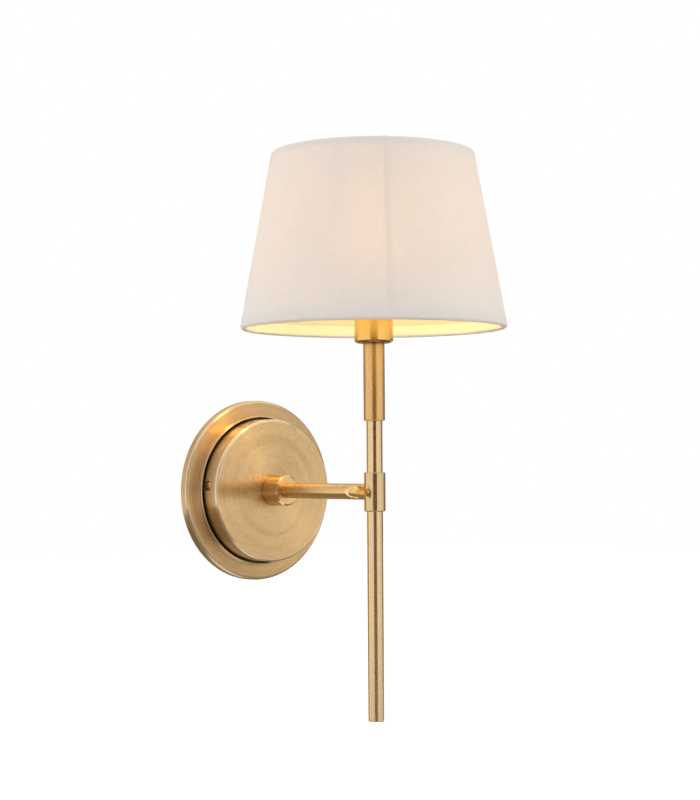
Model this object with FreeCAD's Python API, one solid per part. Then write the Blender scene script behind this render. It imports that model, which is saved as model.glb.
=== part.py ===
import FreeCAD, Part
import math
import os

# Fabric shade wall light. The wall is the plane Y = 0 and the light stands out from it
# along -Y. X runs to the right seen from the front and Z runs up. The origin is on the
# wall, at the height of the arm. All sizes are in millimetres, and a "depth" is a
# distance out from the wall.

# ---------------------------------------------------------------- driving dimensions
# Fits between pieces
slip_gap = 0.05            # radial clearance of a piece seated in another
slide_gap = 0.06           # radial running clearance of the rod in its collar
stop_gap = 0.3             # air left where a moving piece comes up to its stop

# Wall plate: a spun dish with a flat rim and a sunk floor that lies on the wall
flange_width = 12.3        # flat front band, from the rim to the outer edge
plate_depth = 7.3
plate_sheet = 1.2
plate_edge_round = 2.6
groove_width = 1.8         # open ring between the plate's rim and the drum
rim_rise = 3.0             # the rim stands this far in front of the flat band
rim_round = 0.5
rim_root = 0.4             # rounding where the band meets the rim
cable_hole_d = 16.0

# Drum cover
drum_d = 113.4
drum_depth = 26.0
drum_sheet = 1.2
drum_edge_round = 1.8
recess_d = 8.0             # sunk seats of the two side screws
recess_depth = 3.0
recess_wall = 1.2
cover_screw_depth = 14.8
cover_screw_rise = 4.3     # side screws stand this far above the arm's height

# Side screws of the drum cover
cover_head_d = 6.5
cover_head_height = 2.9
cover_head_round = 1.3
cover_shank_d = 3.2
cover_shank_length = 6.0
cross_width = 0.9
cross_length = 3.6
cross_depth = 0.9

# Steel bracket under the drum
bracket_thickness = 1.5
bracket_width = 16.0
bracket_bend = 2.2
bracket_hole_d = 12.0
tab_margin = 5.0           # metal beyond the side screw's centre at the end of each tab
upper_tongue = 36.0
lower_tongue = 25.0
slot_spacing = 60.0
slot_length = 12.0
slot_width = 4.5
rivet_d = 4.0
rivet_head_d = 7.0
rivet_head_height = 1.4
rivet_inset = 5.0          # rivet centre to the near end of its wall screw slot

# Terminal block and earth screw on the bracket
block_width = 20.0
block_height = 18.0
block_thickness = 12.0
block_rise = 24.0
block_round = 1.5
pole_spacing = 11.0
pole_d = 5.2
pole_bore_d = 3.2
clamp_spacing = 10.0
clamp_d = 2.8
clamp_sunk = 1.2
fixing_d = 3.0
fixing_head_d = 5.4
fixing_head_height = 2.0
earth_drop = 17.0
earth_washer_d = 9.0
earth_washer_thickness = 0.8
earth_head_d = 7.0
earth_head_height = 2.4
earth_shank_d = 3.9

# Boss, threaded tube and arm
boss_d = 24.0
boss_length = 18.0
boss_chamfer = 1.3
boss_web = 1.5
nipple_d = 10.0
nipple_bore_d = 7.0
nipple_spare = 3.0         # thread left showing behind the nut
nut_width = 14.0
nut_thickness = 4.0
washer_d = 18.0
washer_thickness = 1.0
arm_d = 12.0
arm_wall = 1.2
arm_reach = 148.0          # wall to the middle of the rod

# Collar that clamps the rod
collar_d = 16.0
collar_length = 29.0
collar_edge_round = 0.8
spigot_length = 9.0
bush_wall = 0.6
bush_flange = 1.0
bush_entry = 1.0           # how far the cable bush stands into the slot of the rod

# Thumbscrew
stud_d = 4.0
stud_thread_gap = 0.06
stud_seat = 3.0            # depth of the stud in the thumbscrew's head
pad_thickness = 1.0
pad_gap = 0.1
neck_d = 6.2               # round neck of the head, beside the collar
neck_length = 1.4
neck_chamfer = 0.5
neck_gap = 0.35
head_length = 19.0
blade_width = 11.4
blade_thickness = 3.4
shoulder_end = 5.8         # the head reaches its full width this far from the collar
blade_corner = 11.0        # and keeps it up to here
blade_slope_end = 16.4
blade_slope_width = 8.8
blade_tip_width = 4.8
flat_start = 6.4           # the two milled flats begin this far from the collar
flat_rise = 4.6            # height of their sloping start above the axis, at the collar
blade_turn = 34.0          # degrees from level when tight

# Rod, sleeve and end plug
rod_d = 12.0
rod_wall = 1.5
rod_drop = 170.0           # arm height down to the end of the rod
end_plug_cap = 2.0
end_plug_spigot = 8.0
end_plug_round = 0.6
sleeve_d = 16.0
sleeve_start = 53.0        # arm height up to the lower end of the sleeve
sleeve_length = 58.0
sleeve_socket = 45.0       # depth that the rod goes into the sleeve
sleeve_edge_round = 0.6
rod_lift = 140.0           # upward travel of the rod from where it is drawn
rod_thread_depth = 10.0

# Lampholder
cup_d = 29.0
cup_height = 30.0
cup_sheet = 1.0
cup_edge_round = 2.6
cup_nut_thickness = 3.0
holder_d = 24.4
holder_floor = 6.0
holder_neck = 13.0         # part of the lampholder that stands out of the cup
wire_chamber_d = 12.6
wire_chamber_height = 6.0
contact_base_thickness = 3.0
contact_rise = 4.0
contact_strip = 0.6
contact_width = 4.0
contact_tip = 3.4          # flat top of the springy strip
contact_foot = 1.9         # flat foot of the strip, seen from above
contact_lean = 1.4         # its underside runs this much further in
contact_side_gap = 0.2
shell_sheet = 0.4
shell_gap = 0.15
terminal_d = 2.6
terminal_spacing = 7.0
ring_nut_d = 34.0
ring_nut_thickness = 6.0
ring_nut_grooves = 24
ring_groove_d = 1.4

# Bulb
cap_d = 13.8
bulb_gap = 1.0             # foot of the glass above the lampholder
cap_tip = 3.0
cap_button_d = 6.2
cap_button_face_d = 4.8
cap_button_height = 1.2
bulb_d = 35.0
bulb_length = 79.0
bulb_glass = 0.9
bulb_neck_d = 14.6
# Stations of the glass: shares of its height, and of its swell from neck to belly or its
# half width above the belly
foot_rise, foot_swell = 0.14, 0.62
belly_rise = 0.36
shoulder_rise, shoulder_width = 0.62, 0.80
tip_rise, tip_width = 0.86, 0.36
filament_count = 4
filament_d = 1.4
filament_length = 32.0
filament_circle_d = 9.0
filament_foot = 8.0        # glass stem below the light sticks
mast_spare = 1.6           # glass mast above the light sticks

# Shade
shade_bottom_d = 200.0
shade_top_d = 152.0
shade_height = 132.2
shade_drop = 19.7          # lower rim of the shade below the seat of its carrier
fabric_thickness = 0.8
liner_thickness = 0.5
liner_end_gap = 0.1
ring_wire_d = 3.0
hem_return = 7.0
carrier_margin = 5.0       # middle ring beyond the ring nut
carrier_thickness = 1.5
carrier_hole_gap = 0.2
carrier_wire_d = 3.0
carrier_arms = 3
carrier_first_arm = 90.0   # degrees from +X, so that one arm points at the wall

# Wiring
flex_d = 5.0
core_d = 1.8
core_spread = 2.6
core_bend = 4.0
core_tight_bend = 2.4
core_entry = 4.0           # straight run of a core below its pole
holder_core_bend = 1.1
holder_core_run = 0.9      # straight end of a core in the lampholder
flex_setback = 1.5         # flex end behind the end of the threaded tube

# ---------------------------------------------------------------- places worked out
drum_radius = drum_d / 2
lip_radius = drum_radius + groove_width
rim_radius = lip_radius + plate_sheet
plate_radius = rim_radius + flange_width
bracket_front = plate_sheet + bracket_thickness
tab_face = drum_radius - recess_depth - recess_wall
drum_inside = drum_depth - drum_sheet
nut_back = drum_inside - washer_thickness - nut_thickness
nipple_back = nut_back - nipple_spare
boss_socket = (boss_length - boss_web) / 2
boss_front = drum_depth + boss_length
arm_bore_r = arm_d / 2 - arm_wall
bush_r = flex_d / 2 + slip_gap + bush_wall
collar_bore_r = rod_d / 2 + slide_gap
rod_bore_r = rod_d / 2 - rod_wall
sleeve_top = sleeve_start + sleeve_length
rod_top = sleeve_start + sleeve_socket
cup_floor = sleeve_top + cup_sheet
holder_bottom = cup_floor + cup_nut_thickness
chamber_bottom = holder_bottom + holder_floor
contact_seat = chamber_bottom + wire_chamber_height
contact_face = contact_seat + contact_base_thickness
carrier_seat = sleeve_top + cup_height
holder_top = carrier_seat + holder_neck
shell_r = cap_d / 2 + shell_gap + shell_sheet
cap_bottom = contact_face + contact_rise
bulb_base = holder_top + bulb_gap
shade_bottom = carrier_seat - shade_drop
shade_top = shade_bottom + shade_height
stud_start = rod_d / 2 + pad_gap + pad_thickness
neck_start = collar_d / 2 + neck_gap
rod_stop = sleeve_start - collar_length / 2 - stop_gap

V = FreeCAD.Vector
AWAY = V(0, -1, 0)
LEFT = V(-1, 0, 0)
UP = V(0, 0, 1)
ROD = V(0, -arm_reach, 0)


# ---------------------------------------------------------------- shape helpers
def outline(corners, place):
    """Closed wire through corners (a, b) or (a, b, radius), put in space by place(a, b)."""
    flat = [V(corner[0], corner[1], 0) for corner in corners]
    bends = []
    for i, here in enumerate(flat):
        radius = corners[i][2] if len(corners[i]) > 2 else 0
        if not radius:
            bends.append([here, here, here])
            continue
        back = (flat[i - 1] - here).normalize()
        ahead = (flat[(i + 1) % len(flat)] - here).normalize()
        half = back.getAngle(ahead) / 2
        inward = (back + ahead).normalize()
        reach = radius / math.tan(half)
        dip = radius / math.sin(half) - radius
        bends.append([here + back * reach, here + inward * dip, here + ahead * reach])
    edges = []
    for i, (start, middle, end) in enumerate(bends):
        if (end - start).Length > 1e-6:
            edges.append(Part.Arc(place(start), place(middle), place(end)).toShape())
        following = bends[(i + 1) % len(bends)][0]
        if (following - end).Length > 1e-6:
            edges.append(Part.LineSegment(place(end), place(following)).toShape())
    return Part.Wire(edges)


def turned_out(corners):
    """Solid turned about the arm's axis from corners (radius, depth, rounding)."""
    wire = outline(corners, lambda p: V(p.x, -p.y, 0))
    return Part.Face(wire).revolve(V(0, 0, 0), V(0, 1, 0), 360)


def turned_up(corners):
    """Solid turned about the rod's axis from corners (radius, height, rounding)."""
    wire = outline(corners, lambda p: ROD + V(p.x, 0, p.y))
    return Part.Face(wire).revolve(ROD, UP, 360)


def turned_side(corners, depth, height, side):
    """Solid turned about a line along X at a depth and height; side is -1 or +1."""
    base = V(0, -depth, height)
    wire = outline(corners, lambda p: base + V(side * p.y, -p.x, 0))
    return Part.Face(wire).revolve(base, V(1, 0, 0), 360)


def pillar(radius, low, high, middle=ROD):
    """Upright cylinder between two heights."""
    return Part.makeCylinder(radius, high - low, V(middle.x, middle.y, low), UP)


def bar_out(radius, near, far, x=0.0, z=0.0):
    """Cylinder along -Y between two depths."""
    return Part.makeCylinder(radius, far - near, V(x, -near, z), AWAY)


def block(x0, x1, near, far, z0, z1):
    """Box between two depths."""
    return Part.makeBox(x1 - x0, far - near, z1 - z0, V(x0, -far, z0))


def hexagon_bar(width, place, run):
    """Hexagonal bar, width measured across its flats; place(a, b) gives its first end."""
    corner = width / math.sqrt(3)
    turns = [i * math.pi / 3 for i in range(7)]
    points = [place(corner * math.cos(turn), corner * math.sin(turn)) for turn in turns]
    return Part.Face(Part.makePolygon(points)).extrude(run)


def slot_out(centre_x, near, far):
    """Wall screw slot: a round-ended bar along X, cut from depth near to far."""
    half = (slot_length - slot_width) / 2
    ends = [bar_out(slot_width / 2, near, far, centre_x + side * half) for side in (-1, 1)]
    middle = block(centre_x - half, centre_x + half, near, far, -slot_width / 2, slot_width / 2)
    return middle.fuse(ends)


def bent_line(points, bend):
    """Straight runs joined by tangent arcs of one radius."""
    edges = []
    start = points[0]
    for i in range(1, len(points) - 1):
        corner = points[i]
        back = (points[i - 1] - corner).normalize()
        ahead = (points[i + 1] - corner).normalize()
        half = back.getAngle(ahead) / 2
        reach = bend / math.tan(half)
        dip = bend / math.sin(half) - bend
        inward = (back + ahead).normalize()
        edges.append(Part.LineSegment(start, corner + back * reach).toShape())
        arc = Part.Arc(corner + back * reach, corner + inward * dip, corner + ahead * reach)
        edges.append(arc.toShape())
        start = corner + ahead * reach
    edges.append(Part.LineSegment(start, points[-1]).toShape())
    return Part.Wire(edges)


def tube_along(points, bend, diameter):
    """Round solid that follows a bent line."""
    path = bent_line(points, bend)
    heading = (points[1] - points[0]).normalize()
    ring = Part.Wire(Part.Circle(points[0], heading, diameter / 2).toShape())
    return path.makePipeShell([ring], True, False)


# ---------------------------------------------------------------- wall side
def wall_plate():
    sheet = plate_sheet
    dish = turned_out([
        (cable_hole_d / 2, 0),
        (rim_radius, 0),
        (rim_radius, plate_depth - sheet),
        (plate_radius - sheet, plate_depth - sheet, plate_edge_round - sheet),
        (plate_radius - sheet, 0),
        (plate_radius, 0),
        (plate_radius, plate_depth, plate_edge_round),
        (rim_radius, plate_depth, rim_root),
        (rim_radius, plate_depth + rim_rise, rim_round),
        (lip_radius, plate_depth + rim_rise, rim_round),
        (lip_radius, sheet),
        (cable_hole_d / 2, sheet)])
    slots = [slot_out(side * slot_spacing / 2, 0, sheet) for side in (-1, 1)]
    rivet_holes = [bar_out(rivet_d / 2 + slip_gap, 0, sheet, x) for x in rivet_places()]
    return dish.cut(slots + rivet_holes)


def rivet_places():
    """X of the two rivets, between the middle and each wall screw slot."""
    inset = slot_spacing / 2 - slot_length / 2 - rivet_inset
    return [-inset, inset]


def mounting_bracket():
    half = bracket_width / 2
    reach = cover_screw_depth + tab_margin
    channel = [
        (-tab_face, plate_sheet, bracket_bend),
        (tab_face, plate_sheet, bracket_bend),
        (tab_face, reach),
        (tab_face - bracket_thickness, reach),
        (tab_face - bracket_thickness, bracket_front, bracket_bend - bracket_thickness),
        (bracket_thickness - tab_face, bracket_front, bracket_bend - bracket_thickness),
        (bracket_thickness - tab_face, reach),
        (-tab_face, reach)]
    wire = outline(channel, lambda p: V(p.x, -p.y, -half))
    strap = Part.Face(wire).extrude(UP * bracket_width)
    tongues = block(-half, half, plate_sheet, bracket_front, -lower_tongue, upper_tongue)
    cuts = [slot_out(side * slot_spacing / 2, plate_sheet, bracket_front) for side in (-1, 1)]
    cuts += [bar_out(rivet_d / 2 + slip_gap, plate_sheet, bracket_front, x)
             for x in rivet_places()]
    cuts.append(bar_out(bracket_hole_d / 2, plate_sheet, bracket_front))
    cuts.append(bar_out(fixing_d / 2 + slip_gap, plate_sheet, bracket_front, 0, block_rise))
    cuts.append(bar_out(earth_shank_d / 2 + slip_gap, plate_sheet, bracket_front, 0, -earth_drop))
    through = Part.makeCylinder(cover_shank_d / 2 + slip_gap, 2 * tab_face,
                                V(-tab_face, -cover_screw_depth, cover_screw_rise), V(1, 0, 0))
    return strap.fuse(tongues).cut(cuts + [through]).removeSplitter()


def bracket_rivets():
    rivets = []
    for x in rivet_places():
        shank = bar_out(rivet_d / 2, 0, bracket_front, x)
        head = bar_out(rivet_head_d / 2, bracket_front, bracket_front + rivet_head_height, x)
        rivets.append(shank.fuse(head).removeSplitter())
    return Part.makeCompound(rivets)


def drum_cover():
    sheet = drum_sheet
    drum = turned_out([
        (drum_radius, plate_sheet),
        (drum_radius, drum_depth, drum_edge_round),
        (nipple_d / 2 + slip_gap, drum_depth),
        (nipple_d / 2 + slip_gap, drum_inside),
        (drum_radius - sheet, drum_inside, drum_edge_round - sheet),
        (drum_radius - sheet, plate_sheet)])
    outside = bar_out(drum_radius, plate_sheet, drum_depth)
    seat_r = recess_d / 2
    for side in (-1, 1):
        wall = turned_side([(0, tab_face), (0, drum_radius), (seat_r + recess_wall, drum_radius),
                            (seat_r + recess_wall, tab_face)],
                           cover_screw_depth, cover_screw_rise, side)
        drum = drum.fuse(wall.common(outside))
        sunk = turned_side([(0, tab_face + recess_wall), (0, drum_radius + recess_depth),
                            (seat_r, drum_radius + recess_depth),
                            (seat_r, tab_face + recess_wall)],
                           cover_screw_depth, cover_screw_rise, side)
        hole_r = cover_shank_d / 2 + slip_gap
        hole = turned_side([(0, tab_face), (0, drum_radius), (hole_r, drum_radius),
                            (hole_r, tab_face)], cover_screw_depth, cover_screw_rise, side)
        drum = drum.cut([sunk, hole])
    return drum.removeSplitter()


def cover_screws():
    seat = tab_face + recess_wall
    top = seat + cover_head_height
    screws = []
    for side in (-1, 1):
        screw = turned_side([
            (0, seat - cover_shank_length),
            (0, top),
            (cover_head_d / 2, top, cover_head_round),
            (cover_head_d / 2, seat),
            (cover_shank_d / 2, seat),
            (cover_shank_d / 2, seat - cover_shank_length)],
            cover_screw_depth, cover_screw_rise, side)
        middle = V(side * top, -cover_screw_depth, cover_screw_rise)
        for width, height in ((cross_width, cross_length), (cross_length, cross_width)):
            corner = middle - V(cross_depth, width / 2, height / 2)
            screw = screw.cut(Part.makeBox(2 * cross_depth, width, height, corner))
        screws.append(screw)
    return Part.makeCompound(screws)


def pole_places():
    """X of the two poles of the terminal block."""
    return [-pole_spacing / 2, pole_spacing / 2]


def terminal_block():
    low = block_rise - block_height / 2
    high = block_rise + block_height / 2
    front = bracket_front + block_thickness
    body = block(-block_width / 2, block_width / 2, bracket_front, front, low, high)
    edges = [edge for edge in body.Edges if abs(edge.Length - block_thickness) < 1e-6]
    body = body.makeFillet(block_round, edges)
    depth = bracket_front + block_thickness / 2
    cuts = [bar_out(fixing_d / 2 + slip_gap, bracket_front, front, 0, block_rise),
            bar_out(fixing_head_d / 2 + slip_gap, front - fixing_head_height, front, 0,
                    block_rise)]
    for x in pole_places():
        cuts.append(pillar(pole_d / 2 + slip_gap, low, high, V(x, -depth, 0)))
        for z in clamp_places():
            cuts.append(bar_out(clamp_d / 2 + slip_gap, depth, front, x, z))
    return body.cut(cuts)


def clamp_places():
    """Heights of the clamping screws in each pole."""
    return [block_rise - clamp_spacing / 2, block_rise + clamp_spacing / 2]


def terminal_poles():
    low = block_rise - block_height / 2
    high = block_rise + block_height / 2
    depth = bracket_front + block_thickness / 2
    poles = []
    for x in pole_places():
        middle = V(x, -depth, 0)
        pole = pillar(pole_d / 2, low, high, middle).cut(pillar(pole_bore_d / 2, low, high, middle))
        holes = [bar_out(clamp_d / 2 + slip_gap, depth, depth + pole_d, x, z)
                 for z in clamp_places()]
        poles.append(pole.cut(holes))
    return Part.makeCompound(poles)


def terminal_clamp_screws():
    depth = bracket_front + block_thickness / 2 + core_d / 2
    front = bracket_front + block_thickness - clamp_sunk
    screws = []
    for x in pole_places():
        for z in clamp_places():
            screw = bar_out(clamp_d / 2, depth, front, x, z)
            notch = block(x - clamp_d / 2, x + clamp_d / 2, front - cross_depth, front,
                          z - cross_width / 2, z + cross_width / 2)
            screws.append(screw.cut(notch))
    return Part.makeCompound(screws)


def terminal_block_screw():
    front = bracket_front + block_thickness
    head = bar_out(fixing_head_d / 2, front - fixing_head_height, front, 0, block_rise)
    shank = bar_out(fixing_d / 2, plate_sheet, front - fixing_head_height, 0, block_rise)
    notch = block(-fixing_head_d / 2, fixing_head_d / 2, front - cross_depth, front,
                  block_rise - cross_width / 2, block_rise + cross_width / 2)
    return head.fuse(shank).cut(notch).removeSplitter()


def earth_washer():
    front = bracket_front + earth_washer_thickness
    disc = bar_out(earth_washer_d / 2, bracket_front, front, 0, -earth_drop)
    return disc.cut(bar_out(earth_shank_d / 2 + slip_gap, bracket_front, front, 0, -earth_drop))


def earth_screw():
    seat = bracket_front + earth_washer_thickness
    head = bar_out(earth_head_d / 2, seat, seat + earth_head_height, 0, -earth_drop)
    shank = bar_out(earth_shank_d / 2, plate_sheet, seat, 0, -earth_drop)
    screw = head.fuse(shank).removeSplitter()
    front = seat + earth_head_height
    for width, height in ((cross_width, cross_length), (cross_length, cross_width)):
        screw = screw.cut(block(-width / 2, width / 2, front - cross_depth, front,
                                -earth_drop - height / 2, height / 2 - earth_drop))
    return screw


def arm_boss():
    inner = nipple_bore_d / 2
    rear = nipple_d / 2 + slip_gap
    front = arm_d / 2 + slip_gap
    return turned_out([
        (rear, drum_depth),
        (boss_d / 2, drum_depth),
        (boss_d / 2, boss_front - boss_chamfer),
        (boss_d / 2 - boss_chamfer, boss_front),
        (front, boss_front),
        (front, boss_front - boss_socket),
        (inner, boss_front - boss_socket),
        (inner, drum_depth + boss_socket),
        (rear, drum_depth + boss_socket)])


def arm_nipple():
    front = drum_depth + boss_socket
    return bar_out(nipple_d / 2, nipple_back, front).cut(
        bar_out(nipple_bore_d / 2, nipple_back, front))


def nipple_washer():
    near = drum_inside - washer_thickness
    return bar_out(washer_d / 2, near, drum_inside).cut(
        bar_out(nipple_d / 2 + slip_gap, near, drum_inside))


def nipple_nut():
    far = nut_back + nut_thickness
    bar = hexagon_bar(nut_width, lambda a, b: V(a, -nut_back, b), AWAY * nut_thickness)
    return bar.cut(bar_out(nipple_d / 2 + slip_gap, nut_back, far))


def arm_tube():
    near = boss_front - boss_socket
    tube = bar_out(arm_d / 2, near, arm_reach).cut(bar_out(arm_bore_r, near, arm_reach))
    return tube.cut(pillar(collar_d / 2, -arm_d, arm_d))


def stem_collar():
    half = collar_length / 2
    body = turned_up([
        (collar_bore_r, -half),
        (collar_d / 2, -half, collar_edge_round),
        (collar_d / 2, half, collar_edge_round),
        (collar_bore_r, half)])
    spigot_end = arm_reach - collar_d / 2 - spigot_length
    spigot = bar_out(arm_bore_r - slip_gap, spigot_end, arm_reach)
    body = body.fuse(spigot.cut(pillar((collar_d / 2 + collar_bore_r) / 2, -half, half)))
    cable_way = bar_out(bush_r + slip_gap, spigot_end, arm_reach)
    thread = Part.makeCylinder(stud_d / 2 + stud_thread_gap, collar_d, ROD, LEFT)
    return body.cut([cable_way, thread]).removeSplitter()


def cable_bush():
    tip = arm_reach - rod_d / 2 + bush_entry
    spigot_end = arm_reach - collar_d / 2 - spigot_length
    flange_r = arm_bore_r - slip_gap
    barrel = bar_out(bush_r, spigot_end, tip)
    flange = bar_out(flange_r, spigot_end - bush_flange, spigot_end)
    bore = bar_out(flex_d / 2 + slip_gap, spigot_end - bush_flange, tip)
    return barrel.fuse(flange).cut(bore).removeSplitter()


def arm_flex():
    near = nipple_back - flex_setback
    far = arm_reach - rod_d / 2 + bush_entry
    return bar_out(flex_d / 2, near, far)


def pole_core(side):
    """One core from the end of the flex up into its pole of the terminal block."""
    start = nipple_back - flex_setback
    depth = bracket_front + block_thickness / 2
    pole_x = side * pole_spacing / 2
    low = block_rise - block_height / 2
    points = [
        V(side * core_spread / 2, -start, 0),
        V(side * core_spread / 2, -depth, 0),
        V(pole_x, -depth, low - core_entry),
        V(pole_x, -depth, block_rise)]
    return tube_along(points, core_tight_bend, core_d)


def live_core():
    return pole_core(-1)


def neutral_core():
    return pole_core(1)


def earth_core():
    start = nipple_back - flex_setback
    depth = bracket_front + earth_washer_thickness + core_d / 2
    points = [
        V(0, -start, -core_spread / 2),
        V(0, -depth, -core_spread / 2),
        V(0, -depth, earth_head_d / 2 - earth_drop)]
    return tube_along(points, core_bend, core_d)


# ---------------------------------------------------------------- thumbscrew
def grip_pad():
    start = ROD + LEFT * (rod_d / 2 + pad_gap)
    return Part.makeCylinder(stud_d / 2, pad_thickness, start, LEFT)


def thumbscrew_stud():
    """Threaded stud, from the grip pad through the collar's wall into the head."""
    length = neck_start + stud_seat - stud_start
    return Part.makeCylinder(stud_d / 2, length, ROD + LEFT * stud_start, LEFT)


def thumbscrew():
    """Turned head, milled flat on two sides, with a blind socket for the stud."""
    neck_r = neck_d / 2
    blank = turned_side([
        (0, neck_start),
        (neck_r - neck_chamfer, neck_start),
        (neck_r, neck_start + neck_chamfer),
        (neck_r, neck_start + neck_length),
        (blade_width / 2, neck_start + shoulder_end),
        (blade_width / 2, neck_start + blade_corner),
        (blade_slope_width / 2, neck_start + blade_slope_end),
        (blade_tip_width / 2, neck_start + head_length),
        (0, neck_start + head_length)], arm_reach, 0, -1)
    socket = Part.makeCylinder(stud_d / 2 + slip_gap, stud_seat, ROD + LEFT * neck_start, LEFT)
    head = blank.cut([milled_flat(-1), milled_flat(1), socket])
    head.rotate(ROD, V(1, 0, 0), blade_turn)
    return head


def milled_flat(side):
    """Prism milled off one side of the head: a slope down from the neck, then the flat."""
    end = neck_start + head_length
    low = side * blade_thickness / 2
    high = side * blade_width
    corners = [(neck_start, side * flat_rise), (neck_start + flat_start, low), (end, low),
               (end, high), (neck_start, high)]
    base = ROD - V(0, blade_width, 0)
    points = [base + LEFT * along + UP * height for along, height in corners]
    return Part.Face(Part.makePolygon(points + points[:1])).extrude(V(0, 2 * blade_width, 0))


# ---------------------------------------------------------------- stem
def stem_rod():
    low = end_plug_cap - rod_drop
    tube = pillar(rod_d / 2, low, rod_top).cut(pillar(rod_bore_r, low, rod_top))
    tube = tube.cut(pillar(nipple_d / 2 + slip_gap, rod_top - rod_thread_depth, rod_top))
    half = bush_r + stop_gap
    way_low = -rod_lift - half
    way_high = rod_stop + half
    way = Part.makeBox(2 * half, rod_d, way_high - way_low, V(-half, -arm_reach, way_low))
    return tube.cut(way)


def rod_end_plug():
    spigot_r = rod_bore_r - slip_gap
    return turned_up([
        (0, -rod_drop),
        (rod_d / 2, -rod_drop, end_plug_round),
        (rod_d / 2, end_plug_cap - rod_drop),
        (spigot_r, end_plug_cap - rod_drop),
        (spigot_r, end_plug_cap + end_plug_spigot - rod_drop),
        (0, end_plug_cap + end_plug_spigot - rod_drop)])


def stem_sleeve():
    low_r = rod_d / 2 + slip_gap
    high_r = nipple_d / 2 + slip_gap
    return turned_up([
        (low_r, sleeve_start),
        (sleeve_d / 2, sleeve_start, sleeve_edge_round),
        (sleeve_d / 2, sleeve_top),
        (high_r, sleeve_top),
        (high_r, rod_top),
        (low_r, rod_top)])


def sleeve_nipple():
    low = rod_top - rod_thread_depth
    high = chamber_bottom
    return pillar(nipple_d / 2, low, high).cut(pillar(nipple_bore_d / 2, low, high))


def lampholder_cup():
    inner = cup_d / 2 - cup_sheet
    hole = nipple_d / 2 + slip_gap
    return turned_up([
        (hole, sleeve_top),
        (cup_d / 2, sleeve_top, cup_edge_round),
        (cup_d / 2, carrier_seat),
        (inner, carrier_seat),
        (inner, cup_floor, cup_edge_round - cup_sheet),
        (hole, cup_floor)])


def cup_nut():
    bar = hexagon_bar(nut_width, lambda a, b: ROD + V(a, b, cup_floor), UP * cup_nut_thickness)
    return bar.cut(pillar(nipple_d / 2 + slip_gap, cup_floor, holder_bottom))


def lampholder_body():
    hole = nipple_d / 2 + slip_gap
    cavity = shell_r + slip_gap
    body = turned_up([
        (hole, holder_bottom),
        (holder_d / 2, holder_bottom),
        (holder_d / 2, holder_top),
        (cavity, holder_top),
        (cavity, contact_seat),
        (wire_chamber_d / 2, contact_seat),
        (wire_chamber_d / 2, chamber_bottom),
        (hole, chamber_bottom)])
    return body


def contact_base():
    disc = pillar(shell_r, contact_seat, contact_face)
    holes = [pillar(terminal_d / 2 + slip_gap, contact_seat, contact_face, middle)
             for middle in terminal_places()]
    return disc.cut(holes)


def terminal_places():
    """Middle of each lampholder terminal."""
    return [ROD + V(side * terminal_spacing / 2, 0, 0) for side in (-1, 1)]


def lampholder_terminals():
    low = contact_seat - wire_chamber_height / 2
    posts = [pillar(terminal_d / 2, low, contact_face, middle) for middle in terminal_places()]
    return Part.makeCompound(posts)


def centre_contact():
    """Springy strip from one terminal up to the middle of the bulb's cap."""
    out = terminal_spacing / 2 + terminal_d / 2
    top = cap_bottom
    thick = contact_strip
    tip = contact_tip / 2
    wire = outline([
        (-out, contact_face),
        (contact_foot + contact_lean - out, contact_face),
        (tip, top - thick),
        (tip, top),
        (-tip, top),
        (contact_foot - out, contact_face + thick),
        (-out, contact_face + thick)],
        lambda p: ROD + V(p.x, -contact_width / 2, p.y))
    return Part.Face(wire).extrude(V(0, contact_width, 0))


def lampholder_shell():
    low = contact_face
    outer = pillar(shell_r, low, holder_top)
    shell = outer.cut(pillar(shell_r - shell_sheet, low, holder_top))
    notch_half = contact_width / 2 + contact_side_gap
    notch = Part.makeBox(shell_r, 2 * notch_half, contact_rise,
                         ROD + V(-shell_r, -notch_half, low))
    return shell.cut(notch)


def shade_ring_nut():
    low = carrier_seat + carrier_thickness
    ring = turned_up([
        (holder_d / 2 + slip_gap, low),
        (ring_nut_d / 2, low),
        (ring_nut_d / 2, low + ring_nut_thickness, ring_groove_d / 2),
        (holder_d / 2 + slip_gap, low + ring_nut_thickness)])
    grooves = []
    for i in range(ring_nut_grooves):
        turn = 2 * math.pi * i / ring_nut_grooves
        middle = ROD + V(math.cos(turn), math.sin(turn), 0) * (ring_nut_d / 2)
        grooves.append(pillar(ring_groove_d / 2, low, low + ring_nut_thickness, middle))
    return ring.cut(grooves)


# ---------------------------------------------------------------- bulb
def bulb_cap():
    radius = cap_d / 2
    return turned_up([
        (0, cap_bottom),
        (cap_button_face_d / 2, cap_bottom),
        (cap_button_d / 2, cap_bottom + cap_button_height),
        (radius, cap_bottom + cap_tip),
        (radius, bulb_base),
        (0, bulb_base)])


def bulb_outline(shrink):
    """Half outline of the candle glass, from its neck to its tip."""
    wide = bulb_d / 2 - shrink
    neck = bulb_neck_d / 2 - shrink
    start = bulb_base + shrink
    tall = bulb_length - 2 * shrink
    points = [ROD + V(neck, 0, start),
              ROD + V(neck + (wide - neck) * foot_swell, 0, start + tall * foot_rise),
              ROD + V(wide, 0, start + tall * belly_rise),
              ROD + V(wide * shoulder_width, 0, start + tall * shoulder_rise),
              ROD + V(wide * tip_width, 0, start + tall * tip_rise),
              ROD + V(0, 0, start + tall)]
    curve = Part.BSplineCurve()
    curve.interpolate(points)
    base = Part.LineSegment(ROD + V(0, 0, start), points[0]).toShape()
    axis = Part.LineSegment(points[-1], ROD + V(0, 0, start)).toShape()
    face = Part.Face(Part.Wire([base, curve.toShape(), axis]))
    return face.revolve(ROD, UP, 360)


def bulb_envelope():
    return bulb_outline(0).cut(bulb_outline(bulb_glass))


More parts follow.
